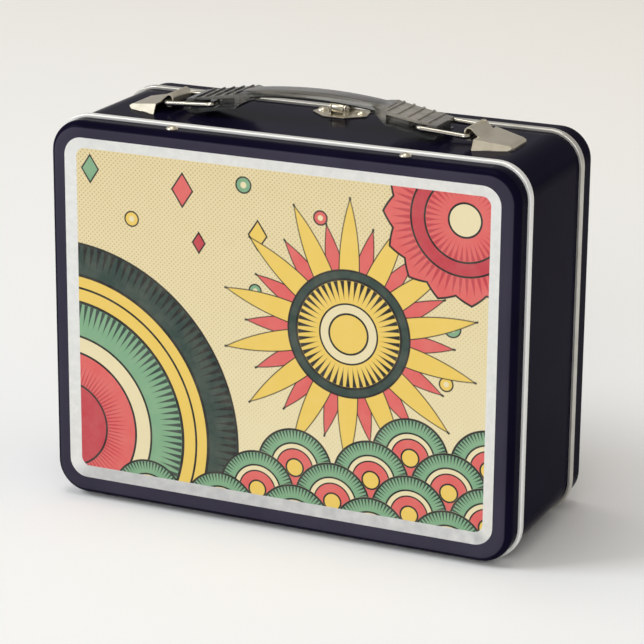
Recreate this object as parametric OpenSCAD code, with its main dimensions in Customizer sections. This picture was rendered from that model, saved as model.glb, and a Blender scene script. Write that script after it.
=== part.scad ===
// Steel lunch box with a hinged lid, a lifting handle, a hasp and an inside bottle bail.
// It stands upright on its two rolled rims. X runs along its width, Y through its depth
// with the picture side at the front (-Y), and Z is up from the surface it stands on.

/* [Box] */
// Width over the rolled rims
box_w = 197; // [192:1:240]
// Height over the rolled rims
box_h = 155.5; // [130:0.5:200]
// Depth from the front face to the back face
box_d = 82; // [78:1:110]
// Thickness of the pressed steel sheet
sheet_t = 0.6; // [0.5:0.1:0.8]
// Radius of the rims' outer corners
corner_r = 14; // [12:0.5:18]
// Radius of the edges round the front and back faces
edge_r = 4; // [3:0.5:5]
// Depth of the front pan, from its face to the middle of its rim
front_d = 10.8; // [10.4:0.1:14]
// Depth of the lid, from its face to the middle of its rim
lid_d = 15.3; // [13:0.1:20]

/* [Rims and seam] */
// Width of each rolled rim
rim_w = 3.1; // [2.6:0.1:3.6]
// Height of the rims above the walls
rim_h = 1.3; // [1.2:0.1:1.8]
// Radius of the rims' outer edges
rim_edge_r = 0.6; // [0.3:0.1:0.9]
// Gap between the body and the closed lid
seam_gap = 0.3; // [0.2:0.1:0.5]
// Length of the body's lip inside the lid
lip_len = 4; // [2:0.5:5]
// Clearance between the lip and the lid's walls
lip_gap = 0.4; // [0.3:0.1:0.6]

/* [Picture panel] */
// Distance from the side walls to the panel
panel_side = 6.8; // [6:0.1:12]
// Distance from the top wall to the panel
panel_above = 5.9; // [5.5:0.1:12]
// Distance from the bottom wall to the panel
panel_below = 7.5; // [5.5:0.1:12]
// Radius of the panel's outer corners
panel_r = 7.5; // [6:0.5:10]
// Width of the bevelled border
bevel_w = 4.5; // [3:0.1:5.5]
// Depth from the box's face to the flat of the panel
recess_d = 1.4; // [0.8:0.1:2]
// Thickness of the printed picture plate
plate_t = 0.4; // [0.3:0.1:0.6]

/* [Handle] */
// Distance between the pivots of the two handle clips
pivot_span = 126; // [120:1:132]
// How far the handle sits right of the middle
fittings_x = 2; // [0:0.5:3]
// Height of the clip pivots above the box top
pivot_z = 4; // [3.6:0.1:4.4]
// Thickness of the loops' wire
loop_wire = 2; // [1.8:0.1:2.2]
// Length of a loop between its two cross legs
loop_len = 20; // [19:0.1:20.5]
// Height of a loop's inner leg above its pivot
loop_rise = 1.3; // [1.1:0.1:1.5]
// Distance between the middles of a loop's two arms
loop_w = 20; // [19.9:0.1:20.6]
// How far the grip lies from the middle between its clips
grip_shift = -2; // [-2:0.1:2]
// Width of the grip over its ribbed ends
grip_w = 17.6; // [16.5:0.1:17.6]
// Width of the grip's bar across its underside
bar_w = 14; // [10:0.5:15]
// Width of the grip's bar across its top
bar_top_w = 10; // [6:0.5:10]
// Thickness of the grip's bar
bar_t = 2.5; // [2.2:0.1:3.4]
// Height of the bar's top above the box top, at its middle
bar_z = 13; // [12.5:0.1:14]
// Rise of the bar from its ends to its middle
bar_arch = 2.2; // [1:0.1:2.4]
// Number of ribs on each end of the grip
rib_count = 5; // [3:1:7]
// Width of each rib
rib_w = 0.7; // [0.5:0.1:1.6]
// Height of each rib
rib_h = 0.5; // [0.3:0.1:0.9]

/* [Handle clips] */
// Thickness of the clips' sheet
clip_t = 0.6; // [0.5:0.1:0.7]
// Inner radius of the clips' rolled pivots
curl_r = 1.4; // [1.3:0.1:1.5]
// Height of the rolled pivots' straight sides
curl_rise = 1.2; // [1:0.1:2]
// Length of the rolled pivots
curl_w = 15; // [14:0.1:17.6]
// Width of the clips at their open end
clip_w = 28; // [26:0.5:29]
// Width of the clips at their closed end
clip_end_w = 17.8; // [16:0.1:20]
// Length of the clips' sloping roof
clip_len = 12.5; // [12:0.5:14]
// Height of the clips at their open end
clip_h = 3.8; // [3.4:0.1:4.2]
// Lean of the clips' flanges
flange_lean = 28; // [10:1:32]

/* [Hasp] */
// Length of the hasp's base plate from front to back
base_len = 14; // [13.5:0.5:15]
// Width of the base plate across its points
base_w = 23; // [22.5:0.5:26]
// Thickness of the base plate
base_t = 0.6; // [0.5:0.1:0.8]
// Distance between the base plate's rivets
base_rivets = 16.5; // [15:0.5:16.5]
// Outer radius of the hasp's rolled pivot
hasp_r = 1.9; // [1.7:0.1:2]
// Width of the hasp
hasp_w = 5; // [5:0.5:8]
// Radius of the hasp's pin
hasp_pin_r = 0.9; // [0.7:0.1:1]
// Thickness of the two ears that carry the pin
ear_t = 0.8; // [0.8:0.1:1.2]

/* [Lid hinges] */
// Distance between the middles of the two hinges
hinge_span = 110; // [90:1:130]
// Width of each hinge
hinge_w = 24; // [20:1:30]
// Radius of the hinges' rolled knuckles
knuckle_r = 1.15; // [1.1:0.05:1.15]
// Radius of the hinge pins
hinge_pin_r = 0.55; // [0.45:0.05:0.6]
// Thickness of the hinge leaves
leaf_t = 0.6; // [0.5:0.1:0.7]
// Length of the body's hinge leaves
leaf_len = 15; // [13:0.5:18]
// Length of the lid's hinge leaves
lid_leaf_len = 11; // [10:0.5:12]

/* [Bottle bail] */
// Distance between the two rivets of the bail clips
bail_span = 96.6; // [80:0.2:110]
// Thickness of the bail's wire
bail_wire = 2.4; // [2:0.1:2.6]
// Length of the bail from its pivot to its cross bar
bail_len = 62; // [40:1:62]
// Width of each bail clip
bail_clip_w = 8; // [6:0.5:10]

/* [Rivets] */
// Radius of the large rivets' domed heads
rivet_head_r = 2.3; // [2:0.1:2.4]
// Height of the large rivets' domed heads
rivet_head_h = 1.3; // [0.8:0.1:1.5]
// Radius of the large rivets' shanks
rivet_r = 1.2; // [1:0.1:1.4]
// Radius of the hinge rivets' heads
small_head_r = 1.6; // [1.4:0.1:1.8]
// Radius of the hinge rivets' shanks
small_rivet_r = 0.8; // [0.6:0.1:0.9]

/* [Hidden] */
$fn = 64;

// Small clearances
fit_gap = 0.05;       // round a pin that turns
rivet_gap = 0.02;     // round a rivet or a fixed pin
side_gap = 0.3;       // beside a part that moves
slot_gap = 0.15;      // round a clip's tab

// Walls: their outline, and the heights and depths that other parts line up with
wall_w = box_w - 2 * rim_h;
wall_h = box_h - 2 * rim_h;
wall_r = corner_r - rim_h;
top_z = box_h - rim_h;
front_y = -box_d / 2;
back_y = box_d / 2;
front_rim_y = front_y + front_d;
lid_rim_y = back_y - lid_d;
lid_front_y = lid_rim_y - rim_w / 2;
band_back_y = lid_front_y - seam_gap;
band_len = band_back_y - front_rim_y;
mid_y = (front_rim_y + lid_rim_y) / 2;

// Picture panel
panel_w = wall_w - 2 * panel_side;
panel_h = wall_h - panel_above - panel_below;
panel_up = (panel_below - panel_above) / 2;

// Lid hinges: the axis lies on the lid's front edge, level with the walls' outside
hinge_y = lid_front_y;
hinge_z = rim_h;
knuckle_gap = 0.15;
relief = rim_h + side_gap;             // the bottom wall stops short of the turning rim
relief_w = wall_w - wall_r;            // width of that relief
mid_knuckle_w = hinge_w * 0.4;
hinge_x = hinge_span / 2;
small_head_h = 0.5;
rivet_inset = 3;                       // from a leaf's end to its rivets
rivet_edge = 5;                        // from a leaf's side to its rivets
rivet_pair = hinge_w - 2 * rivet_edge;

// Handle: everything is placed from the clip pivots
wire_r = loop_wire / 2;
pivot_x = pivot_span / 2;
curl_out = curl_r + clip_t;
loop_bend = 1.6;
loop_tilt = asin(loop_rise / loop_len);
inner_leg_x = pivot_x - loop_len * cos(loop_tilt);
inner_leg_z = pivot_z + loop_rise;
lift = 9;                              // how far the grip rises
lifted_tilt = asin((loop_rise + lift) / loop_len);
lifted_leg_x = pivot_x - loop_len * cos(lifted_tilt);

// Grip ends, from the full-width shoulder outwards
shoulder_inset = 11.3;                 // from the loops' inner legs
shoulder_x = inner_leg_x - shoulder_inset;
shoulder_len = 8;                      // from the bar to the shoulder
rib_len = 20.8;
rib_end_x = shoulder_x + rib_len;
web_inset = 3.3;                       // of the web, behind the ribs' sides
web_w = grip_w - 2 * web_inset;
rib_pitch = rib_len / rib_count;
rib_top_in = bar_z - bar_arch - 0.6;
rib_top_out = rib_top_in - 3.7;
roof_in = rib_top_in - 1.3;            // underside of the ribbed slab at the shoulder
roof_out = rib_top_out - 1;
jaw_top_in = pivot_z + 1.2;
jaw_top_out = pivot_z - 1.5;
jaw_bottom_in = jaw_top_in - 0.7;
jaw_bottom_out = 1.1;
slot_in = inner_leg_x - abs(grip_shift) - wire_r - side_gap;
slot_out = lifted_leg_x + abs(grip_shift) + wire_r + side_gap;
slot_top = inner_leg_z + wire_r + side_gap;
bar_half = shoulder_x - 1.5;
bar_arc_r = (bar_half * bar_half + bar_arch * bar_arch) / (2 * bar_arch);
bar_chamfer = 0.8;
shoulder_top = bar_z - bar_arch;
under_z = shoulder_top - bar_t;        // underside of the bar near its ends
fillet_drop = under_z - jaw_bottom_in;
fillet_len = shoulder_len - 0.3;       // it leaves a narrow land at the shoulder
fillet_r = (fillet_len * fillet_len + fillet_drop * fillet_drop) / (2 * fillet_drop);

// Handle clips
clip_in = pivot_x + 3.5;               // open end of the roof
clip_out = clip_in + clip_len;
clip_toe = 1.8;                        // length of the bevel at the closed end
clip_drop = 2;                         // fall of the roof
toe_h = 0.8;
flange_turn = atan((clip_w - clip_end_w) / 2 / clip_len);
strap_lean = 38;                       // of the strap between rolled pivot and roof
tab_w = 4;
tab_x = clip_in + 5;
tab_y = clip_w / 2 - (tab_x - clip_in) * tan(flange_turn) - clip_t / 2 / cos(flange_turn);
tab_foot = 3;

// Hasp
hasp_shift = 1.3;                      // to the left of the handle's middle
hasp_x = fittings_x - hasp_shift;
base_back_y = band_back_y - 0.4;
base_front_y = base_back_y - base_len;
base_nose_w = 9;                       // width of the straight front edge
base_back_w = base_w - 3;
base_shoulder = 6.5;                   // from the front edge to the points
rivet_y = base_back_y - 5;            // clear of the lip below
pin_inset = 5.8;                       // from the base plate's front edge to the pin
hasp_y = base_front_y + pin_inset;
hasp_lift = 0.1;                       // gap between the rolled pivot and the plate
hasp_z = top_z + base_t + hasp_lift + hasp_r;
hasp_t = 0.8;
rim_clear = 0.35;                      // gap between the hasp's tongue and the lid's rim
ear_x = hasp_w / 2 + knuckle_gap;
base_head_r = 2.2;

// Bottle bail
bail_shift = 0.6;                      // to the left of the handle's middle
bail_middle = fittings_x - bail_shift;
bail_x = bail_span / 2;
bail_r = bail_wire / 2;
bail_hole_r = bail_r + 0.15;
bail_curl_r = bail_hole_r + sheet_t;
rivet_line_y = front_rim_y - rim_w / 2 - rivet_head_r - 0.2;
bail_clip_lap = 3;                     // of each clip, in front of its rivet
bail_setback = 4;                      // from the rivets to the bail's pivot
bail_y = rivet_line_y + bail_setback;
bail_z = top_z - sheet_t - bail_curl_r;
bail_arm_gap = 1.6;                    // from a clip to the bail's arm
bail_tip = 1.2;                        // how far the bail's ends stand out of the clips
bail_arm_x = bail_x - bail_clip_w / 2 - bail_arm_gap - bail_r;
bail_tip_x = bail_x + bail_clip_w / 2 + bail_tip;
bail_bend = 3;
tail_r = 2;
tail_h = 0.8;

// A rectangle with rounded corners
module rounded_rect(w, h, r) {
    square([w - 2 * r, h], center = true);
    square([w, h - 2 * r], center = true);
    for (sx = [-1, 1], sy = [-1, 1])
        translate([sx * (w / 2 - r), sy * (h / 2 - r)]) circle(r);
}

// Carries a 2D section round a rounded rectangle. The section's x is the distance
// outwards from the rectangle's edge, and its y becomes the height.
module around(w, h, r) {
    for (side = [0:3]) {
        across = side % 2 == 0 ? w : h;
        along = side % 2 == 0 ? h : w;
        rotate(90 * side) {
            translate([across / 2, 0, 0]) rotate([90, 0, 0])
                linear_extrude(along - 2 * r, center = true) children();
            translate([across / 2 - r, along / 2 - r, 0])
                rotate_extrude(angle = 90) translate([r, 0]) children();
        }
    }
}

// Stands a shape drawn flat on its back upright: its height then points to the front
module upright() {
    translate([0, 0, rim_h + wall_h / 2]) rotate([90, 0, 0]) children();
}

// The same for the lid, whose outside faces the back
module upright_back() {
    mirror([0, 1, 0]) upright() children();
}

// Extrudes a profile drawn in X and Z through a width along Y
module across_y(width) {
    rotate([90, 0, 0]) linear_extrude(width, center = true) children();
}

// Extrudes a profile drawn in Y and Z through a width along X
module across_x(width) {
    rotate([90, 0, 90]) linear_extrude(width, center = true) children();
}

module rod_x(r, length) {
    rotate([0, 90, 0]) cylinder(r = r, h = length, center = true);
}

module rod_y(r, length) {
    rotate([90, 0, 0]) cylinder(r = r, h = length, center = true);
}

// Places handle parts from the middle of the handle, on the box top
module on_top() {
    translate([fittings_x, mid_y, top_z]) children();
}

// A quarter ring of wire
module wire_bend(bend_r, r) {
    rotate_extrude(angle = 90) translate([bend_r, 0]) circle(r);
}

// A dome of radius r and height h, standing on its flat face
module dome(r, h) {
    ball_r = (r * r + h * h) / (2 * h);
    intersection() {
        translate([0, 0, h - ball_r]) sphere(ball_r);
        cylinder(r = r, h = h);
    }
}

// A rivet through a stack of the given thickness, its head resting on z = 0
module rivet(head_r, head_h, shank_r, stack, end_r, end_h) {
    dome(head_r, head_h);
    translate([0, 0, -stack]) cylinder(r = shank_r, h = stack);
    translate([0, 0, -stack - end_h]) cylinder(r = end_r, h = end_h);
}

// Section of a pan's wall and rounded edge, its face at y = 0
module pan_section(depth) {
    translate([-sheet_t, -depth]) square([sheet_t, depth - edge_r]);
    translate([-edge_r, -edge_r]) intersection() {
        difference() {
            circle(edge_r);
            circle(edge_r - sheet_t);
        }
        square(edge_r);
    }
}

// A pressed pan with a recessed panel. seat is the thickness of a plate laid in it.
module pan(depth, seat) {
    floor_z = -seat - recess_d - sheet_t;
    around(wall_w, wall_h, wall_r) pan_section(depth);
    translate([0, 0, -sheet_t]) linear_extrude(sheet_t) difference() {
        rounded_rect(wall_w - 2 * edge_r, wall_h - 2 * edge_r, wall_r - edge_r);
        translate([0, panel_up]) rounded_rect(panel_w, panel_h, panel_r);
    }
    translate([0, panel_up, 0]) {
        around(panel_w, panel_h, panel_r) polygon([
            [sheet_t, 0], [0, 0], [0, -seat], [-bevel_w, -seat - recess_d],
            [-bevel_w, floor_z], [0, -seat - sheet_t], [sheet_t, -sheet_t]]);
        translate([0, 0, floor_z]) linear_extrude(sheet_t) panel_flat();
    }
}

module panel_flat() {
    rounded_rect(panel_w - 2 * bevel_w, panel_h - 2 * bevel_w, panel_r - bevel_w);
}

// The rolled rim that stands proud of the walls
module rim() {
    flat = rim_w - 2 * rim_edge_r;
    around(wall_w, wall_h, wall_r) {
        translate([0, -rim_w / 2]) square([rim_h - rim_edge_r, rim_w]);
        translate([0, -flat / 2]) square([rim_h, flat]);
        for (s = [-1, 1]) translate([rim_h - rim_edge_r, s * flat / 2]) circle(rim_edge_r);
    }
}

module front_pan() color("midnightblue") difference() {
    upright() translate([0, 0, -front_y]) pan(front_d, plate_t);
    for (s = [-1, 1]) translate([bail_middle + s * bail_x, rivet_line_y, top_z])
        cylinder(r = rivet_r + rivet_gap, h = 3 * sheet_t, center = true);
}

module front_rim() color("white") upright() translate([0, 0, -front_rim_y]) rim();

module picture_plate() color("wheat") upright() translate([0, panel_up, -front_y]) {
    around(panel_w, panel_h, panel_r) polygon([
        [0, 0], [-bevel_w, -recess_d], [-bevel_w, -recess_d - plate_t], [0, -plate_t]]);
    translate([0, 0, -recess_d - plate_t]) linear_extrude(plate_t) panel_flat();
}

// Lip along the top and sides of the body that the closed lid fits over
module lip() {
    a = sheet_t + lip_gap;
    b = a + sheet_t;
    bottom = hinge_z + wall_r + 1;
    difference() {
        upright() translate([0, 0, -band_back_y]) around(wall_w, wall_h, wall_r) polygon([
            [-sheet_t, 3], [-sheet_t, 2], [-a, 1.2], [-a, -lip_len],
            [-b, -lip_len], [-b, 1.6], [-2 * sheet_t, 3]]);
        translate([-box_w, -box_d, 0]) cube([2 * box_w, 2 * box_d, bottom]);
    }
}

module body_band() color("midnightblue") {
    difference() {
        upright() translate([0, 0, -band_back_y]) linear_extrude(band_len) difference() {
            rounded_rect(wall_w, wall_h, wall_r);
            rounded_rect(wall_w - 2 * sheet_t, wall_h - 2 * sheet_t, wall_r - sheet_t);
        }
        // the bottom stops short so that the lid's rim can turn past it
        translate([-relief_w / 2, band_back_y + seam_gap - relief, 0])
            cube([relief_w, relief, hinge_z + wall_r / 2]);
        for (s = [-1, 1]) {
            on_top() mirror([s < 0 ? 1 : 0, 0, 0]) for (t = [-1, 1])
                at_tab(t) cube([tab_w + 2 * slot_gap, clip_t + 2 * slot_gap, 3 * sheet_t], center = true);
            translate([hasp_x + s * base_rivets / 2, rivet_y, top_z])
                cylinder(r = rivet_r + rivet_gap, h = 3 * sheet_t, center = true);
        }
        hinge_holes(hinge_y - leaf_len + rivet_inset);
    }
    lip();
}

module lid_pan() color("midnightblue") difference() {
    upright_back() translate([0, 0, back_y]) pan(lid_d + rim_w / 2, 0);
    knuckle_notch();
    hinge_holes(hinge_y + lid_leaf_len - rivet_inset);
}

module lid_rim() color("white") difference() {
    upright() translate([0, 0, -lid_rim_y]) rim();
    knuckle_notch();
}

// Room for the knuckles in the lid's edge
module knuckle_notch() {
    for (s = [-1, 1]) translate([s * hinge_x, hinge_y, hinge_z])
        cube([hinge_w + 2 * side_gap, 2 * (knuckle_r + side_gap), 6 * rim_h], center = true);
}

// Holes for one row of hinge rivets
module hinge_holes(y) {
    for (s = [-1, 1], t = [-1, 1])
        translate([s * hinge_x + t * rivet_pair / 2, y, hinge_z])
            cylinder(r = small_rivet_r + rivet_gap, h = 6 * sheet_t, center = true);
}

// Leaf that lies under the body, with a knuckle at each end
module hinge_body_leaf(x) color("silver") translate([x, hinge_y, hinge_z]) {
    clear = mid_knuckle_w + 2 * knuckle_gap;
    difference() {
        union() {
            rod_x(knuckle_r, hinge_w);
            translate([-hinge_w / 2, -leaf_len, -leaf_t]) cube([hinge_w, leaf_len, leaf_t]);
        }
        translate([-clear / 2, -knuckle_r - side_gap, -rim_h])
            cube([clear, 2 * knuckle_r + side_gap + 1, 3 * rim_h]);
        rod_x(hinge_pin_r + rivet_gap, 2 * hinge_w);
        for (t = [-1, 1]) translate([t * rivet_pair / 2, rivet_inset - leaf_len, 0])
            cylinder(r = small_rivet_r + rivet_gap, h = 3 * leaf_t, center = true);
    }
}

// Leaf that lies inside the lid, with the middle knuckle
module hinge_lid_leaf(x) color("silver") translate([x, hinge_y, hinge_z]) {
    start = knuckle_r + side_gap;
    difference() {
        union() {
            rod_x(knuckle_r, mid_knuckle_w);
            translate([-mid_knuckle_w / 2, 0, sheet_t])
                cube([mid_knuckle_w, start, min(leaf_t, knuckle_r - sheet_t)]);
            translate([-hinge_w / 2, start, sheet_t])
                cube([hinge_w, lid_leaf_len - start, leaf_t]);
        }
        rod_x(hinge_pin_r + fit_gap, 2 * hinge_w);
        for (t = [-1, 1]) translate([t * rivet_pair / 2, lid_leaf_len - rivet_inset, sheet_t])
            cylinder(r = small_rivet_r + rivet_gap, h = 3 * leaf_t, center = true);
    }
}

module hinge_pin(x) color("gainsboro") translate([x, hinge_y, hinge_z])
    rod_x(hinge_pin_r, hinge_w);

module hinge_left_body_leaf() hinge_body_leaf(-hinge_x);
module hinge_left_lid_leaf() hinge_lid_leaf(-hinge_x);
module hinge_left_pin() hinge_pin(-hinge_x);
module hinge_right_body_leaf() hinge_body_leaf(hinge_x);
module hinge_right_lid_leaf() hinge_lid_leaf(hinge_x);
module hinge_right_pin() hinge_pin(hinge_x);

// Hinge rivets have their heads below, so they are set upside down
module hinge_rivets(y, head_z) color("silver") {
    for (s = [-1, 1], t = [-1, 1])
        translate([s * hinge_x + t * rivet_pair / 2, y, head_z]) mirror([0, 0, 1])
            rivet(small_head_r, small_head_h, small_rivet_r, sheet_t + leaf_t,
                small_head_r, small_head_h);
}

module hinge_body_rivets()
    hinge_rivets(hinge_y - leaf_len + rivet_inset, hinge_z - leaf_t);

module hinge_lid_rivets()
    hinge_rivets(hinge_y + lid_leaf_len - rivet_inset, hinge_z);

// Places one of a clip's two tabs below the middle of its flange
module at_tab(side) {
    translate([tab_x, side * tab_y, 0]) rotate(-side * flange_turn) children();
}

// The clip's outer shape, with every side moved inwards by a distance
module clip_block(inset) {
    wide = clip_w / 2;
    narrow = clip_end_w / 2 - inset;
    toe = clip_out + clip_toe - inset;
    start = inset > 0 ? clip_in - 1 : clip_in;
    bottom = inset > 0 ? -1 : 0;
    difference() {
        intersection() {
            translate([0, 0, bottom]) linear_extrude(2 * clip_h) polygon([
                [start, -wide], [clip_out, -narrow], [toe - 0.7, 0.9 - narrow], [toe, 2.6 - narrow],
                [toe, narrow - 2.6], [toe - 0.7, narrow - 0.9], [clip_out, narrow], [start, wide]]);
            across_y(2 * clip_w) polygon([
                [start, bottom], [start, clip_h - inset], [clip_in, clip_h - inset],
                [clip_out, clip_h - clip_drop - inset], [toe, toe_h - inset / 2], [toe, bottom]]);
        }
        for (s = [0, 1]) mirror([0, s, 0]) translate([clip_in, -wide, 0])
            rotate(flange_turn) rotate([-flange_lean, 0, 0])
                translate([-clip_len, inset - wide, -clip_h])
                    cube([3 * clip_len, wide, 4 * clip_h]);
    }
}

// Right-hand handle clip, mirrored for the left
module handle_clip() {
    t = clip_t;
    top = [pivot_x, pivot_z + curl_rise];
    out = [cos(strap_lean), sin(strap_lean)];
    foot = [clip_in + 1, clip_h - clip_drop / clip_len - 0.05];
    difference() {
        clip_block(0);
        clip_block(t);
    }
    // rolled pivot with straight sides, open towards the roof
    across_y(curl_w) difference() {
        upright_slot(curl_out);
        upright_slot(curl_r);
        polygon([top, top + 4 * [cos(strap_lean - 5), sin(strap_lean - 5)], [clip_in, 0],
            [pivot_x + 0.8, 0], [pivot_x + 0.8, pivot_z]]);
    }
    // strap from the rolled pivot down to the roof
    across_y(curl_w) polygon([top + curl_out * out, foot, foot - 0.9 * t * out,
        top + (curl_out - 0.9 * t) * out]);
    // tabs through the box top, clinched flat below it
    for (s = [-1, 1]) at_tab(s) {
        translate([-tab_w / 2, -t / 2, -sheet_t - t]) cube([tab_w, t, sheet_t + t + 0.2]);
        translate([-tab_w / 2, s > 0 ? -tab_foot : -t / 2, -sheet_t - t])
            cube([tab_w, tab_foot + t / 2, t]);
    }
}

// Section of a rolled pivot's outside or inside: a slot that stands on the pivot
module upright_slot(r) {
    for (z = [0, curl_rise]) translate([pivot_x, pivot_z + z]) circle(r);
    translate([pivot_x - r, pivot_z]) square([2 * r, curl_rise]);
}

module handle_clip_right() color("silver") on_top() handle_clip();
module handle_clip_left() color("silver") on_top() mirror([1, 0, 0]) handle_clip();

// Right-hand wire loop: outer leg in the clip's pivot, inner leg in the grip's slot
module handle_loop() {
    half = loop_w / 2;
    translate([pivot_x, 0, pivot_z]) rotate([0, loop_tilt, 0]) {
        for (x = [0, -loop_len]) translate([x, 0, 0]) rod_y(wire_r, 2 * (half - loop_bend));
        for (s = [-1, 1]) translate([-loop_len / 2, s * half, 0])
            rod_x(wire_r, loop_len - 2 * loop_bend);
        for (turn = [0:3]) {
            sx = turn == 0 || turn == 3 ? 1 : -1;
            sy = turn < 2 ? 1 : -1;
            translate([-loop_len / 2 + sx * (loop_len / 2 - loop_bend), sy * (half - loop_bend), 0])
                rotate(90 * turn) wire_bend(loop_bend, wire_r);
        }
    }
}

module handle_loop_right() color("lightgray") on_top() handle_loop();
module handle_loop_left() color("lightgray") on_top() mirror([1, 0, 0]) handle_loop();

// Heights along the grip's end, all falling evenly from the shoulder outwards
function falling(x, z_in, z_out) = z_in + (z_out - z_in) * (x - shoulder_x) / rib_len;
function rib_line(x) = falling(x, rib_top_in, rib_top_out);

// Side view of the ribbed slab
module rib_profile() {
    ridges = [for (i = [0:rib_count - 1]) let (x = shoulder_x + i * rib_pitch, e = x + rib_w)
        each [[x, rib_line(x) + rib_h], [e, rib_line(e) + rib_h], [e, rib_line(e)],
            [x + rib_pitch, rib_line(x + rib_pitch)]]];
    polygon(concat(ridges, [[rib_end_x, roof_out], [shoulder_x, roof_in]]));
}

// Side view of the lower jaw under the loop's inner leg
module jaw_profile() {
    polygon([[shoulder_x, jaw_top_in], [rib_end_x, jaw_top_out], [rib_end_x, jaw_top_out - 0.4],
        [rib_end_x - 1, jaw_bottom_out], [rib_end_x - 3, jaw_bottom_out],
        [shoulder_x, jaw_bottom_in]]);
}

// Right-hand end of the grip
module grip_end() {
    // full-width shoulder that widens out from the bar
    intersection() {
        across_y(grip_w) difference() {
            polygon([[shoulder_x - shoulder_len, jaw_bottom_in], [shoulder_x, jaw_bottom_in],
                [shoulder_x, rib_top_in], [shoulder_x - 2, shoulder_top],
                [shoulder_x - shoulder_len, shoulder_top]]);
            translate([shoulder_x - shoulder_len, under_z - fillet_r])
                circle(fillet_r, $fn = 128);
        }
        linear_extrude(2 * bar_z) polygon([
            [shoulder_x - shoulder_len, -bar_top_w / 2], [shoulder_x - 2, -grip_w / 2],
            [shoulder_x, -grip_w / 2], [shoulder_x, grip_w / 2],
            [shoulder_x - 2, grip_w / 2], [shoulder_x - shoulder_len, bar_top_w / 2]]);
    }
    across_y(grip_w) jaw_profile();
    // slab and the web below it, open where the loop's inner leg slides
    difference() {
        union() {
            across_y(grip_w) rib_profile();
            across_y(web_w) polygon([[shoulder_x, jaw_bottom_in + 0.5], [shoulder_x, roof_in + 0.3],
                [rib_end_x, roof_out + 0.3], [rib_end_x, jaw_top_out - 0.3]]);
        }
        translate([slot_in, -grip_w, 0]) cube([slot_out - slot_in, 2 * grip_w, slot_top]);
    }
}

module handle_grip() color("dimgray") on_top() translate([grip_shift, 0, 0]) {
    sweep = asin((shoulder_x - 1) / bar_arc_r);
    r_in = bar_arc_r - bar_t;
    translate([0, 0, bar_z - bar_arc_r]) rotate([90, 0, 0]) rotate(90 - sweep)
        rotate_extrude(angle = 2 * sweep, $fn = 720) polygon([
            [r_in, -bar_w / 2 + bar_chamfer], [r_in + bar_chamfer, -bar_w / 2],
            [bar_arc_r - bar_chamfer, -bar_top_w / 2 - 0.3],
            [bar_arc_r, -bar_top_w / 2 + bar_chamfer],
            [bar_arc_r, bar_top_w / 2 - bar_chamfer],
            [bar_arc_r - bar_chamfer, bar_top_w / 2 + 0.3],
            [r_in + bar_chamfer, bar_w / 2], [r_in, bar_w / 2 - bar_chamfer]]);
    grip_end();
    mirror([1, 0, 0]) grip_end();
}

// Base plate with pointed sides and two ears for the hasp's pin
module hasp_base() color("silver") translate([hasp_x, 0, 0]) {
    y0 = base_front_y;
    difference() {
        translate([0, 0, top_z]) linear_extrude(base_t) polygon([
            [-base_nose_w / 2, y0], [base_nose_w / 2, y0], [base_w / 2, y0 + base_shoulder],
            [base_back_w / 2, base_back_y], [-base_back_w / 2, base_back_y],
            [-base_w / 2, y0 + base_shoulder]]);
        for (s = [-1, 1]) translate([s * base_rivets / 2, rivet_y, top_z])
            cylinder(r = rivet_r + rivet_gap, h = 3 * base_t, center = true);
    }
    for (s = [-1, 1]) translate([s * (ear_x + ear_t / 2), hasp_y, 0]) difference() {
        union() {
            translate([0, 0, hasp_z]) rod_x(hasp_r, ear_t);
            translate([-ear_t / 2, -hasp_r, top_z]) cube([ear_t, 2 * hasp_r, hasp_z - top_z]);
        }
        translate([0, 0, hasp_z]) rod_x(hasp_pin_r + rivet_gap, 2 * ear_t);
    }
}

module hasp_pin() color("gainsboro") translate([hasp_x, hasp_y, hasp_z]) {
    rod_x(hasp_pin_r, 2 * (ear_x + ear_t));
    for (s = [-1, 1]) translate([s * (ear_x + ear_t + 0.25), 0, 0])
        rod_x(hasp_pin_r + 0.3, 0.5);
}

// The hasp: a tongue rolled round its pin, reaching back over the lid's rim
module hasp() color("silver") translate([hasp_x, hasp_y, hasp_z]) {
    reach = lid_front_y - hasp_y;
    low = rim_h + top_z + rim_clear - hasp_z;
    heel = hasp_r - hasp_t;
    difference() {
        union() {
            rod_x(hasp_r, hasp_w);
            across_x(hasp_w) polygon([
                [0, heel], [reach - 5.4, heel], [reach - 1.4, low], [reach + rim_w + 1, low],
                [reach + rim_w + 3.4, low + 1.9], [reach + rim_w + 2.8, low + 2.5],
                [reach + rim_w + 0.6, low + hasp_t], [reach - 1.1, low + hasp_t],
                [reach - 5.1, hasp_r], [0, hasp_r]]);
        }
        rod_x(hasp_pin_r + fit_gap, 2 * hasp_w);
    }
}

module hasp_rivets() color("silver") {
    for (s = [-1, 1]) translate([hasp_x + s * base_rivets / 2, rivet_y, top_z + base_t])
        rivet(base_head_r, rivet_head_h, rivet_r, base_t + sheet_t, tail_r, tail_h);
}

// Wire bail that holds a bottle, hanging from its two clips behind the front face
module bottle_bail() color("lightgray") translate([bail_middle, bail_y, bail_z]) {
    turn_x = bail_arm_x + bail_bend;
    low = -bail_len;
    for (s = [0, 1]) mirror([s, 0, 0]) {
        translate([(turn_x + bail_tip_x) / 2, 0, 0]) rod_x(bail_r, bail_tip_x - turn_x);
        translate([bail_arm_x, 0, -bail_len / 2])
            cylinder(r = bail_r, h = bail_len - 2 * bail_bend, center = true);
        translate([turn_x, 0, -bail_bend]) rotate([90, 0, 0]) rotate(90)
            wire_bend(bail_bend, bail_r);
        translate([bail_arm_x - bail_bend, 0, low + bail_bend]) rotate([90, 0, 0]) rotate(270)
            wire_bend(bail_bend, bail_r);
    }
    translate([0, 0, low]) rod_x(bail_r, 2 * (bail_arm_x - bail_bend));
}

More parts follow.
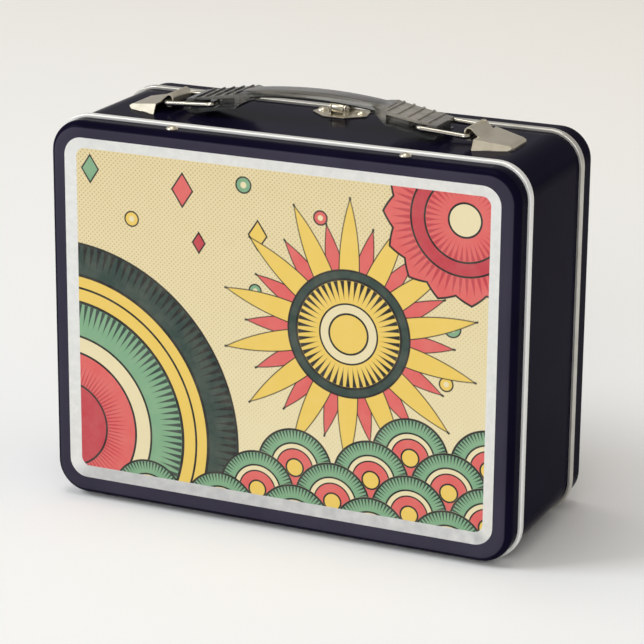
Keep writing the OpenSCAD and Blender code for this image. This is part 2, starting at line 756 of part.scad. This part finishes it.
module bail_clips() color("silver") {
    for (s = [-1, 1]) translate([bail_middle + s * bail_x, 0, top_z - sheet_t]) difference() {
        union() {
            translate([-bail_clip_w / 2, rivet_line_y - bail_clip_lap, -sheet_t])
                cube([bail_clip_w, bail_y - rivet_line_y + bail_clip_lap, sheet_t]);
            translate([0, bail_y, -bail_curl_r]) rod_x(bail_curl_r, bail_clip_w);
        }
        translate([0, bail_y, -bail_curl_r]) rod_x(bail_hole_r, bail_clip_w + 1);
        translate([0, rivet_line_y, 0])
            cylinder(r = rivet_r + rivet_gap, h = 3 * sheet_t, center = true);
    }
}

module bail_rivets() color("silver") {
    for (s = [-1, 1]) translate([bail_middle + s * bail_x, rivet_line_y, top_z])
        rivet(rivet_head_r, rivet_head_h, rivet_r, 2 * sheet_t, tail_r, tail_h);
}

body_band();
front_pan();
front_rim();
picture_plate();
lid_pan();
lid_rim();
handle_grip();
handle_loop_left();
handle_loop_right();
handle_clip_left();
handle_clip_right();
hasp_base();
hasp_pin();
hasp();
hasp_rivets();
hinge_left_body_leaf();
hinge_left_lid_leaf();
hinge_left_pin();
hinge_right_body_leaf();
hinge_right_lid_leaf();
hinge_right_pin();
hinge_body_rivets();
hinge_lid_rivets();
bottle_bail();
bail_clips();
bail_rivets();
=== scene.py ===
import math

import bpy
from mathutils import Matrix, Vector

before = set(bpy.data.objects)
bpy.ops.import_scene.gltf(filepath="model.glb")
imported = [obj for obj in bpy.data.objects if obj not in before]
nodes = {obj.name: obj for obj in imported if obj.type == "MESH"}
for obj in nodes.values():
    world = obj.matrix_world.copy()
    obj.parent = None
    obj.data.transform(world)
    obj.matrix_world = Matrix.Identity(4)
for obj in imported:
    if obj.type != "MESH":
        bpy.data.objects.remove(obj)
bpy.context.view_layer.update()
print("frame loaded:", len(nodes), "nodes")


# camera

cameraValues = {
    "lens": 152.65,
    "sensor": 36,
    "azimuth": 24.33,
    "elevation": 17.43,
    "roll": 0.491,
    "target": (0.019665, -0.041, 0.087903),
    "distance": 1.03008,
    "clip": (0.05, 50),
}


def makeCamera(v):
    az, el, roll = (math.radians(v[k]) for k in ("azimuth", "elevation", "roll"))
    look = Vector((-math.sin(az) * math.cos(el), math.cos(az) * math.cos(el), -math.sin(el)))
    level = Vector((math.cos(az), math.sin(az), 0))
    up = level.cross(look)
    right = level * math.cos(roll) + up * math.sin(roll)
    top = up * math.cos(roll) - level * math.sin(roll)
    data = bpy.data.cameras.new("camera")
    data.lens = v["lens"]
    data.sensor_width = v["sensor"]
    data.clip_start, data.clip_end = v["clip"]
    camera = bpy.data.objects.new("camera", data)
    turn = Matrix((right, top, -look)).transposed().to_4x4()
    camera.matrix_world = Matrix.Translation(Vector(v["target"]) - look * v["distance"]) @ turn
    bpy.context.scene.collection.objects.link(camera)
    bpy.context.scene.camera = camera


makeCamera(cameraValues)
print("camera in place")


# one material's shader tree, with short ways to add its nodes

class Finish:
    def __init__(self, name):
        self.material = bpy.data.materials.new(name)
        self.material.use_nodes = True
        self.tree = self.material.node_tree
        self.tree.nodes.clear()
        self.output = self.add("ShaderNodeOutputMaterial")
        self.shader = self.add("ShaderNodeBsdfPrincipled")
        self.link(self.shader.outputs["BSDF"], self.output.inputs["Surface"])
        coord = self.add("ShaderNodeTexCoord")
        self.where = coord.outputs["Object"]
        self.facing = coord.outputs["Normal"]

    def add(self, kind, **settings):
        node = self.tree.nodes.new(kind)
        for key, value in settings.items():
            setattr(node, key, value)
        return node

    def link(self, a, b):
        self.tree.links.new(a, b)

    def put(self, value, socket):
        # a number or colour stays on the socket itself, another socket is linked to it
        if isinstance(value, bpy.types.NodeSocket):
            self.link(value, socket)
        else:
            socket.default_value = value

    def set(self, **values):
        for key, value in values.items():
            self.put(value, self.shader.inputs[key.replace("_", " ")])

    def math(self, operation, a, b=0.0, c=0.0):
        node = self.add("ShaderNodeMath", operation=operation)
        for socket, value in zip(node.inputs, (a, b, c)):
            self.put(value, socket)
        return node.outputs[0]

    def length(self, a, b):
        # the long side of a right-angled triangle
        squares = self.math("ADD", self.math("MULTIPLY", a, a), self.math("MULTIPLY", b, b))
        return self.math("SQRT", squares)

    def pastCorners(self, a, b, middle, half, corner):
        # for a rounded rectangle: less than the corner's radius inside it, and just that on its outline
        def past(value, centre, reach):
            fromCentre = self.math("ABSOLUTE", self.math("SUBTRACT", value, centre))
            return self.math("MAXIMUM", self.math("SUBTRACT", fromCentre, reach - corner), 0)
        return self.length(past(a, middle[0], half[0]), past(b, middle[1], half[1]))

    def mix(self, share, a, b):
        # a at share 0 and b at share 1, both colours
        node = self.add("ShaderNodeMix", data_type="RGBA")
        for i, value in ((0, share), (6, a), (7, b)):
            self.put(value, node.inputs[i])
        return node.outputs[2]

    def pick(self, share, a, b):
        # the same for plain numbers
        node = self.add("ShaderNodeMix", data_type="FLOAT")
        for i, value in ((0, share), (2, a), (3, b)):
            self.put(value, node.inputs[i])
        return node.outputs[0]

    def noise(self, scale, detail=3, rough=0.5, stretch=None):
        node = self.add("ShaderNodeTexNoise")
        node.inputs["Scale"].default_value = scale
        node.inputs["Detail"].default_value = detail
        node.inputs["Roughness"].default_value = rough
        source = self.where
        if stretch:
            mapping = self.add("ShaderNodeMapping")
            mapping.inputs["Scale"].default_value = stretch
            self.link(source, mapping.inputs["Vector"])
            source = mapping.outputs[0]
        self.link(source, node.inputs["Vector"])
        return node.outputs["Fac"]

    def fit(self, value, low, high, newLow=0.0, newHigh=1.0):
        node = self.add("ShaderNodeMapRange")
        for i, number in enumerate((value, low, high, newLow, newHigh)):
            self.put(number, node.inputs[i])
        return node.outputs[0]

    def bump(self, height, strength, distance):
        node = self.add("ShaderNodeBump")
        node.inputs["Strength"].default_value = strength
        node.inputs["Distance"].default_value = distance
        self.link(height, node.inputs["Height"])
        return node.outputs[0]

    def xyz(self, source=None):
        node = self.add("ShaderNodeSeparateXYZ")
        self.link(source or self.where, node.inputs[0])
        return node.outputs


def rgb(r, g, b):
    # a colour from 0 to 255, turned into light
    def light(c):
        c /= 255
        return c / 12.92 if c <= 0.04045 else ((c + 0.055) / 1.055) ** 2.4
    return (light(r), light(g), light(b), 1)


def darker(colour, share):
    return tuple(c * share for c in colour[:3]) + (1,)


def dress(material, *names):
    for name in names:
        mesh = nodes[name].data
        mesh.materials.clear()
        mesh.materials.append(material)


# navy enamel on the outside of the sheet, bare tin on its inside

enamelValues = {
    "colour": rgb(15, 12, 30),
    "cloudColour": rgb(19, 16, 36),
    "roughness": 0.12,
    "peel": 0.03,
    "scratches": 0.12,
    "satin": rgb(56, 53, 67),           # the flat border round the picture, its navy painted lighter as painted light from the front
    "litSatinCloud": rgb(63, 60, 74),
    "satinRoughness": 0.38,
    "satinDepth": (-0.04065, -0.0404),  # where the flat border ends
    "seamRoughness": 0.7,
    "sides": (0.0955, 0.0968),          # from here outwards the walls shine less
    "sideShine": 0.26,
    "tin": rgb(214, 212, 204),
    "tinRoughness": 0.4,
    "tinDull": 0.8,
    "skin": 0.0003,                     # depth of the paint below the outside
    "half": (0.0972, 0.07645),          # half the walls' width and height
    "corner": 0.0127,
    "middle": (0.0, 0.07775),
    "cloudScale": 30,
    "scratchScale": 240,
    "grainScale": 500,
    "peelScale": 700,
}
bandValues = {
    "gloss": 1.055,
    "seam": (0.0228, 0.0234),           # depths between which dust sets in
}
frontValues = {
    "gloss": 1.05,
    "outer": -1,                        # the way along y that its painted face looks
    "satin": True,
}
lidValues = {
    "gloss": 1.05,
    "outer": 1,
}


def navyEnamel(name, v, gloss, outer=None, satin=False, seam=None):
    f = Finish(name)
    cloud = f.noise(v["cloudScale"], 4)
    fine = f.noise(v["scratchScale"], 5, 0.7, stretch=(1, 1, 7))
    scratch = f.fit(fine, 0.67, 0.7)
    softCloud = f.fit(cloud, 0.35, 0.7)
    paint = f.mix(softCloud, v["colour"], v["cloudColour"])
    shine = f.fit(cloud, 0.3, 0.7, v["roughness"] - 0.02, v["roughness"] + 0.05)
    shine = f.math("MULTIPLY_ADD", scratch, v["scratches"], shine)
    x, y, z = f.xyz()
    if satin:
        # the front's flat border is satin, and its navy is painted lighter there as painted light from the
        # front; its rounded edge is glossy
        flat = f.fit(y, *v["satinDepth"], 1, 0)
        paint = f.mix(flat, paint, f.mix(softCloud, v["satin"], v["litSatinCloud"]))
        shine = f.pick(flat, shine, v["satinRoughness"])
    if seam:
        # dust dulls the paint beside the seam
        shine = f.pick(f.fit(y, *seam), shine, v["seamRoughness"])
    # the walls' rounded outline tells the outside from the inside
    across = f.pastCorners(x, z, v["middle"], v["half"], v["corner"])
    painted = f.math("GREATER_THAN", across, v["corner"] - v["skin"])
    if outer is not None:
        # a pan is painted on its face too, where it looks outwards
        outwards = f.math("MULTIPLY", f.xyz(f.facing)[1], outer)
        painted = f.math("MAXIMUM", painted, f.math("GREATER_THAN", outwards, 0.02))
    grain = f.noise(v["grainScale"], 3, 0.6, stretch=(1, 1, 6))
    tin = f.mix(f.fit(grain, 0.3, 0.7), v["tin"], darker(v["tin"], v["tinDull"]))
    sideWall = f.fit(f.math("ABSOLUTE", x), *v["sides"])
    f.set(Base_Color=f.mix(painted, tin, paint))
    f.set(Metallic=f.math("SUBTRACT", 1, painted))
    f.set(Roughness=f.pick(painted, v["tinRoughness"], shine))
    f.set(Normal=f.bump(f.noise(v["peelScale"], 2), v["peel"], 0.0002))
    f.set(Specular_IOR_Level=f.pick(sideWall, 0.5, v["sideShine"]))
    f.set(IOR=gloss)
    return f.material


# bright metals

metalScales = {"cloudScale": 90, "grainScale": 900}
rimValues = {
    **metalScales,
    "colour": rgb(241, 241, 238),
    "dull": darker(rgb(241, 241, 238), 0.72),
    "patches": 0.2,
    "roughness": 0.4,
    "metallic": 0.45,
    "bump": 0.02,
}
lidRimValues = {
    **metalScales,
    "colour": rgb(205, 203, 196),
    "dull": rgb(150, 146, 128),
    "patches": 0.4,
    "roughness": 0.36,
    "metallic": 0.7,
    "bump": 0.02,
}
plateValues = {
    "cloudScale": 130,
    "grainScale": 300,
    "colour": rgb(214, 207, 189),
    "dull": rgb(168, 159, 136),
    "patches": 0.5,
    "roughness": 0.33,
    "metallic": 0.95,
    "bump": 0.004,
}
wireValues = {
    **metalScales,
    "colour": rgb(208, 204, 192),
    "dull": darker(rgb(208, 204, 192), 0.72),
    "patches": 0.5,
    "roughness": 0.22,
    "metallic": 1.0,
    "bump": 0.02,
}


def brightMetal(name, v):
    f = Finish(name)
    cloud = f.fit(f.noise(v["cloudScale"], 4), 0.42, 0.8, 0, v["patches"])
    grain = f.noise(v["grainScale"], 3, 0.6)
    f.set(Base_Color=f.mix(cloud, v["colour"], v["dull"]))
    f.set(Metallic=v["metallic"])
    f.set(Roughness=f.fit(grain, 0.3, 0.7, v["roughness"] * 0.9, v["roughness"] * 1.15))
    f.set(Normal=f.bump(f.noise(260, 2), v["bump"], 0.0001))
    return f.material


# smoke plastic of the grip

smokeValues = {
    # colour and dark: the painted reflection streaks run between them
    "colour": rgb(146, 142, 133),
    "dark": rgb(58, 60, 60),
    "clear": 0.4,
    "paled": rgb(190, 183, 168),  # the right end is paler
    "paledFrom": (0.026, 0.034),
    "low": rgb(96, 99, 98),      # the lower jaws are painted darker, as shade under the bar
    # the thin lower jaws let more light through
    "clearLow": 0.8,
    "jaws": (0.1585, 0.162),     # heights between which the jaws end
    "streakScale": 420,
    "patchinessScale": 180,
    "waveScale": 500,
}


def smokePlastic(v):
    f = Finish("smokePlastic")
    # streaks along the bar are painted reflections inside the clear plastic
    reflectionStreak = f.fit(f.noise(v["streakScale"], 4, 0.6, stretch=(0.04, 1, 1)), 0.36, 0.64)
    place = f.xyz()
    upper = f.fit(place[2], *v["jaws"])
    patchiness = f.fit(f.noise(v["patchinessScale"], 3), 0.3, 0.6, 0.35, 0.8)
    paledShare = f.math("MULTIPLY", f.fit(place[0], *v["paledFrom"]), patchiness)
    body = f.mix(paledShare, f.mix(reflectionStreak, v["dark"], v["colour"]), v["paled"])
    # below the jaws' heights the colour turns to the darker low one, painted shade
    f.set(Base_Color=f.mix(upper, v["low"], body))
    f.set(Roughness=f.fit(f.noise(400, 3), 0.3, 0.7, 0.08, 0.16))
    f.set(Normal=f.bump(f.noise(v["waveScale"], 2, stretch=(0.3, 1, 1)), 0.08, 0.0001))
    f.set(IOR=1.5)
    f.set(Transmission_Weight=f.pick(upper, v["clearLow"], v["clear"]))
    return f.material


# the printed picture: a generic sheet of fans, arcs and a sun, all in millimetres

inkValues = {
    "cream": rgb(225, 212, 171),
    "sand": rgb(219, 203, 158),
    "straw": rgb(190, 166, 114),
    "gold": rgb(227, 194, 94),
    "coral": rgb(214, 96, 93),
    "rose": rgb(186, 62, 72),
    "green": rgb(122, 164, 128),
    "pine": rgb(48, 66, 60),
    "ink": rgb(30, 30, 30),
    "faded": rgb(250, 240, 215),
    "tin": rgb(226, 227, 225),
    "brightTin": rgb(238, 238, 235),
}
pictureValues = {
    "flatDepth": -0.03962,          # what lies behind this is the flat of the plate
    "half": (86.0, 65.5),           # half the print's width and height
    "middle": (0.0, 78.55),
    "corner": 4.0,
    "sun": (30, 84, 22),            # place and radius
    "rays": ((14, 0.5, "coral", 17, 0.62), (14, 0.0, "gold", 27, 0.7)),
    "arcs": (-92, 30),              # middle of the large arcs
    "medallion": (76, 134),
    "fanRadius": 16.0,
    "fanRise": 11.5,                # from one row to the next
    "fanFoot": 4.0,                 # height of the lowest row
    "fanStart": 200,                # far enough left of the plate
    "fanRidge": (0.3, 27),          # slope and height of the line that the rows stay under
    "dotPitch": 1.35,
    "rings": ((-14, 137, 2.8, "green"), (-62, 118, 2.6, "gold"), (2, 62, 2.6, "coral"),
              (72, 92, 3.0, "green"), (18, 128, 2.4, "coral"), (-9, 96, 2.2, "green"),
              (70, 70, 2.4, "gold")),
    "lozenges": ((-40, 132, 4.2, "coral"), (-8, 118, 3.6, "gold"), (-33, 112, 2.4, "rose"),
                 (-80, 136, 3.4, "green")),
}


class Picture:
    # flat shapes in the picture's plane, each laid over what is already there

    def __init__(self, finish, v, inks):
        self.f, self.v, self.inks = finish, v, inks
        x, y, z = finish.xyz()
        self.x = finish.math("MULTIPLY", x, 1000)
        self.z = finish.math("MULTIPLY", z, 1000)
        self.depth = y
        self.colour = inks["cream"]

    def lay(self, mask, ink):
        # the ink is one of the named ones, or a colour already mixed
        ink = self.inks[ink] if isinstance(ink, str) else ink
        self.colour = self.f.mix(mask, self.colour, ink)

    def reach(self, cx, cz):
        dx, dz = self.f.math("SUBTRACT", self.x, cx), self.f.math("SUBTRACT", self.z, cz)
        return self.f.length(dx, dz), dx, dz

    def below(self, value, limit, soft=0.12):
        # 1 where the value is below the limit
        f = self.f
        if isinstance(limit, bpy.types.NodeSocket):
            return f.fit(f.math("SUBTRACT", value, limit), -soft, soft, 1, 0)
        return f.fit(value, limit - soft, limit + soft, 1, 0)

    def both(self, a, b):
        return self.f.math("MULTIPLY", a, b)

    def teeth(self, dx, dz, count, phase=0.0):
        # 0 on a tooth's middle line and 1 halfway between two
        f = self.f
        turn = f.math("MULTIPLY_ADD", f.math("ARCTAN2", dz, dx), count / (2 * math.pi), phase)
        return f.math("ABSOLUTE", f.math("MULTIPLY_ADD", f.math("FRACT", turn), 2, -1))

    def bands(self, radius, stops, reach):
        # one ring of colour after another from the middle outwards
        ramp = self.f.add("ShaderNodeValToRGB")
        ramp.color_ramp.interpolation = "CONSTANT"
        elements = ramp.color_ramp.elements
        for i, (start, ink) in enumerate(stops):
            element = elements[i] if i < 2 else elements.new(start / reach)
            element.position = start / reach
            element.color = self.inks[ink]
        self.f.link(self.f.math("DIVIDE", radius, reach), ramp.inputs[0])
        return ramp.outputs[0]

    def hatch(self, base, dx, dz, radius, count, start, end, ink):
        # engraved strokes that taper from start to end
        stroke = self.below(self.teeth(dx, dz, count), self.f.fit(radius, start, end, 0.62, -0.1), 0.1)
        lo, hi = min(start, end), max(start, end)
        inside = self.both(self.below(radius, hi), self.f.math("SUBTRACT", 1, self.below(radius, lo)))
        return self.f.mix(self.both(stroke, inside), base, self.inks[ink])


def drawGround(p):
    # rows of small dots on cream, set on the slant
    f = p.f
    turn = math.pi / (p.v["dotPitch"] * math.sqrt(2))
    rising, falling = (f.math(way, p.x, p.z) for way in ("ADD", "SUBTRACT"))
    rows, columns = (f.math("SINE", f.math("MULTIPLY", a, turn)) for a in (rising, falling))
    wave = f.math("ABSOLUTE", f.math("MULTIPLY", rows, columns))
    fade = f.fit(f.math("ADD", f.math("MULTIPLY", p.x, -0.35), p.z), 40, 170, 0.93, 0.72)
    p.colour = f.mix(f.fit(p.z, 30, 150), p.inks["cream"], p.inks["sand"])
    p.lay(f.fit(f.math("SUBTRACT", wave, fade), -0.03, 0.06), "straw")


def drawScatter(p):
    # small rings and lozenges in loose rows
    f = p.f
    for cx, cz, size, ink in p.v["rings"]:
        r = p.reach(cx, cz)[0]
        for radius, colour in ((size + 0.6, "ink"), (size, ink), (size * 0.45, "cream")):
            p.lay(p.below(r, radius), colour)
    for cx, cz, size, ink in p.v["lozenges"]:
        dx, dz = p.reach(cx, cz)[1:]
        span = f.math("ADD", f.math("MULTIPLY", f.math("ABSOLUTE", dx), 1.5), f.math("ABSOLUTE", dz))
        for reach, colour in ((size * 1.45 + 1.1, "ink"), (size * 1.45, ink)):
            p.lay(p.below(span, reach), colour)


def drawSun(p):
    f = p.f
    cx, cz, size = p.v["sun"]
    r, dx, dz = p.reach(cx, cz)
    for count, phase, ink, length, width in p.v["rays"]:
        teeth = p.teeth(dx, dz, count, phase)
        taper = f.fit(r, size + 3, size + 3 + length, width, 0)
        line = f.math("ADD", taper, f.math("DIVIDE", 1.9, f.math("MAXIMUM", r, 1)))
        p.lay(p.both(p.below(teeth, line, 0.02), p.below(r, size + 4.5 + length)), "ink")
        p.lay(p.both(p.below(teeth, taper, 0.02), p.below(r, size + 3 + length)), ink)
    rings = p.bands(r, ((0, "gold"), (7.5, "ink"), (8.3, "cream"), (11.5, "ink"), (12.2, "gold"),
                        (size - 1, "ink"), (size, "pine"), (size + 2.6, "ink")), size + 3.4)
    rings = p.hatch(rings, dx, dz, r, 46, size - 1, 12.2, "ink")
    p.lay(p.below(r, size + 3.4), rings)


def drawMedallion(p):
    cx, cz = p.v["medallion"]
    r, dx, dz = p.reach(cx, cz)
    edge = p.f.math("MULTIPLY_ADD", p.teeth(dx, dz, 15), -3.4, 33)
    rings = p.bands(r, ((0, "cream"), (6, "ink"), (6.8, "coral"), (15.5, "ink"), (16.3, "rose"),
                        (21, "ink"), (21.8, "coral")), 40)
    rings = p.hatch(rings, dx, dz, r, 40, 15.5, 8, "rose")
    rings = p.hatch(rings, dx, dz, r, 60, 22, 30, "rose")
    p.lay(p.below(r, edge), "ink")
    p.lay(p.below(r, p.f.math("SUBTRACT", edge, 0.9)), rings)


def drawArcs(p):
    cx, cz = p.v["arcs"]
    r, dx, dz = p.reach(cx, cz)
    rings = p.bands(r, ((0, "rose"), (17, "ink"), (18, "coral"), (30, "ink"), (31, "cream"), (37, "ink"),
                        (38, "green"), (51, "ink"), (52, "gold"), (57, "ink"), (57.8, "gold"), (62, "ink"),
                        (63, "pine"), (75, "ink")), 76)
    rings = p.hatch(rings, dx, dz, r, 90, 18, 28, "rose")
    rings = p.hatch(rings, dx, dz, r, 120, 51, 41, "pine")
    rings = p.hatch(rings, dx, dz, r, 150, 75, 65, "ink")
    p.lay(p.below(r, 76), rings)


def drawFans(p):
    # rows of overlapping fans that climb to the right, the lowest row in front
    f, v = p.f, p.v
    size, rise = v["fanRadius"], v["fanRise"]
    radius = acrossFan = upFan = None
    for row in (4, 3, 2, 1, 0):
        foot = v["fanFoot"] + row * rise
        shift = (row % 2) * size
        cell = f.math("DIVIDE", f.math("ADD", p.x, shift + v["fanStart"]), 2 * size)
        across = f.math("MULTIPLY_ADD", f.math("FRACT", cell), 2 * size, -size)
        middle = f.math("SUBTRACT", p.x, across)
        up = f.math("SUBTRACT", p.z, foot)
        far = f.length(across, up)
        # a fan is there if its foot is below the ridge line at its middle
        allowed = f.math("LESS_THAN", foot, f.math("MULTIPLY_ADD", middle, *v["fanRidge"]))
        here = f.math("MULTIPLY", f.math("LESS_THAN", far, size), allowed)
        if radius is None:
            # 99 mm is beyond every fan, so nothing is drawn there
            radius, acrossFan, upFan = f.pick(here, 99, far), across, up
            continue
        radius = f.pick(here, radius, far)
        acrossFan = f.pick(here, acrossFan, across)
        upFan = f.pick(here, upFan, up)
    rings = p.bands(radius, ((0, "gold"), (3.2, "ink"), (3.9, "coral"), (7.3, "ink"), (7.9, "cream"),
                             (9.6, "ink"), (10.3, "green"), (size - 0.9, "ink")), size + 0.2)
    rings = p.hatch(rings, acrossFan, upFan, radius, 64, size - 0.9, 11, "pine")
    p.lay(p.below(radius, size), rings)


def printedTin(inks, v):
    f = Finish("printedTin")
    p = Picture(f, v, inks)
    drawGround(p)
    drawScatter(p)
    drawArcs(p)
    drawSun(p)
    drawMedallion(p)
    drawFans(p)
    # the print lies on the flat only, and the bevel round it is bare tin
    edge = f.pastCorners(p.x, p.z, v["middle"], v["half"], v["corner"])
    printed = p.both(f.math("GREATER_THAN", p.depth, v["flatDepth"]), p.below(edge, v["corner"]))
    mottle = f.noise(160, 5, 0.6)
    paled = f.mix(f.fit(mottle, 0.35, 0.7, 0.0, 0.045), p.colour, inks["faded"])
    speck = f.noise(300, 3, 0.6)
    tin = f.mix(f.fit(speck, 0.3, 0.7), inks["tin"], inks["brightTin"])
    tinShine, printShine = f.fit(speck, 0.3, 0.7, 0.28, 0.36), f.fit(mottle, 0.3, 0.7, 0.4, 0.5)
    f.set(Base_Color=f.mix(printed, tin, paled))
    f.set(Metallic=f.pick(printed, 0.95, 0.0))
    f.set(Roughness=f.pick(printed, tinShine, printShine))
    f.set(Specular_IOR_Level=0.3)
    f.set(Normal=f.bump(speck, 0.03, 0.00005))
    return f.material


# slightly rounded edges on the moulded and pressed fittings

edgeValues = {
    "weld": 0.000002,
    "segments": 2,
    "bluntest": 28,     # degrees between two faces whose edge is still rounded
    "widths": {
        "handle_grip": 0.0003,
        "handle_clip_left": 0.00024,
        "handle_clip_right": 0.00024,
        "hasp_base": 0.0002,
        "hasp": 0.0002,
    },
}


def softenEdges(v):
    for name, width in v["widths"].items():
        weld = nodes[name].modifiers.new("weld", "WELD")
        weld.merge_threshold = v["weld"]
        bevel = nodes[name].modifiers.new("bevel", "BEVEL")
        bevel.width = width
        bevel.segments = v["segments"]
        bevel.limit_method = "ANGLE"
        bevel.angle_limit = math.radians(v["bluntest"])
        bevel.harden_normals = True


softenEdges(edgeValues)
print("edges softened")

dress(navyEnamel("navyBand", enamelValues, **bandValues), "body_band")
dress(navyEnamel("navyFront", enamelValues, **frontValues), "front_pan")
dress(navyEnamel("navyLid", enamelValues, **lidValues), "lid_pan")
dress(brightMetal("rimMetal", rimValues), "front_rim")
dress(brightMetal("lidRimMetal", lidRimValues), "lid_rim")
dress(brightMetal("plateMetal", plateValues), "handle_clip_left", "handle_clip_right", "hasp_base",
      "hasp", "hasp_rivets", "hinge_left_body_leaf", "hinge_left_lid_leaf", "hinge_right_body_leaf",
      "hinge_right_lid_leaf", "hinge_body_rivets", "hinge_lid_rivets", "bail_clips", "bail_rivets")
dress(brightMetal("wireMetal", wireValues), "handle_loop_left", "handle_loop_right", "hasp_pin",
      "hinge_left_pin", "hinge_right_pin", "bottle_bail")
dress(smokePlastic(smokeValues), "handle_grip")
dress(printedTin(inkValues, pictureValues), "picture_plate")
print("materials done")


# floor, world and lamps

floorValues = {
    "half": 12,
    "drop": 0.00005,              # just below the rims' flat lands
    "nearColour": (0.91, 0.925, 0.945, 1),
    "farColour": (1.0, 0.985, 0.95, 1),
    "slant": 0.35,                # share of x in the way the colour changes
    "fade": (-0.1, 0.9),
}
worldValues = {
    "strength": 0.42,
    "low": (1.08, 1.07, 1.1, 1),
    "top": (1.0, 0.92, 0.79, 1),
    "fade": (0.3, 0.6),
}
lampValues = {
    "keyLamp": {"place": (-3.0, -1.8, 2.8), "size": (1.8, 1.8), "power": 86, "colour": (0.95, 0.985, 1)},
    "frontLamp": {"place": (0.4, -2.1, 0.95), "size": (1.2, 0.8), "power": 14, "colour": (1, 1, 1)},
    "topLamp": {"place": (-0.2, -0.1, 2.0), "size": (1.2, 0.8), "power": 9, "colour": (1, 1, 1)},
}
lampAim = (0, 0, 0.08)


def makeFloor(v):
    mesh = bpy.data.meshes.new("floor")
    corners = [(x * v["half"], y * v["half"], 0) for x, y in ((-1, -1), (1, -1), (1, 1), (-1, 1))]
    mesh.from_pydata(corners, [], [(0, 1, 2, 3)])
    floor = bpy.data.objects.new("floor", mesh)
    floor.location.z = -v["drop"]
    bpy.context.scene.collection.objects.link(floor)
    f = Finish("floorPaper")
    x, y = f.xyz()[:2]
    away = f.fit(f.math("MULTIPLY_ADD", x, v["slant"], y), *v["fade"])
    f.set(Base_Color=f.mix(away, v["nearColour"], v["farColour"]))
    f.set(Roughness=0.9)
    f.set(Specular_IOR_Level=0.0)
    mesh.materials.append(f.material)


def makeWorld(v):
    world = bpy.data.worlds.new("world")
    bpy.context.scene.world = world
    world.use_nodes = True
    tree = world.node_tree
    back = tree.nodes["Background"]
    coord = tree.nodes.new("ShaderNodeTexCoord")
    split = tree.nodes.new("ShaderNodeSeparateXYZ")
    ramp = tree.nodes.new("ShaderNodeValToRGB")
    tree.links.new(coord.outputs["Generated"], split.inputs[0])
    tree.links.new(split.outputs[2], ramp.inputs[0])
    tree.links.new(ramp.outputs[0], back.inputs[0])
    for element, position, colour in zip(ramp.color_ramp.elements, v["fade"], (v["low"], v["top"])):
        element.position = position
        element.color = colour
    back.inputs[1].default_value = v["strength"]


def addLamp(name, v, aim):
    data = bpy.data.lights.new(name, "AREA")
    data.shape = "RECTANGLE"
    data.size, data.size_y = v["size"]
    data.energy = v["power"]
    data.color = v["colour"]
    lamp = bpy.data.objects.new(name, data)
    lamp.location = v["place"]
    lamp.rotation_euler = (Vector(aim) - Vector(v["place"])).to_track_quat("-Z", "Y").to_euler()
    bpy.context.scene.collection.objects.link(lamp)


makeFloor(floorValues)
makeWorld(worldValues)
for name, values in lampValues.items():
    addLamp(name, values, lampAim)
print("stage and lamps done")

bpy.context.scene.view_settings.view_transform = "Standard"
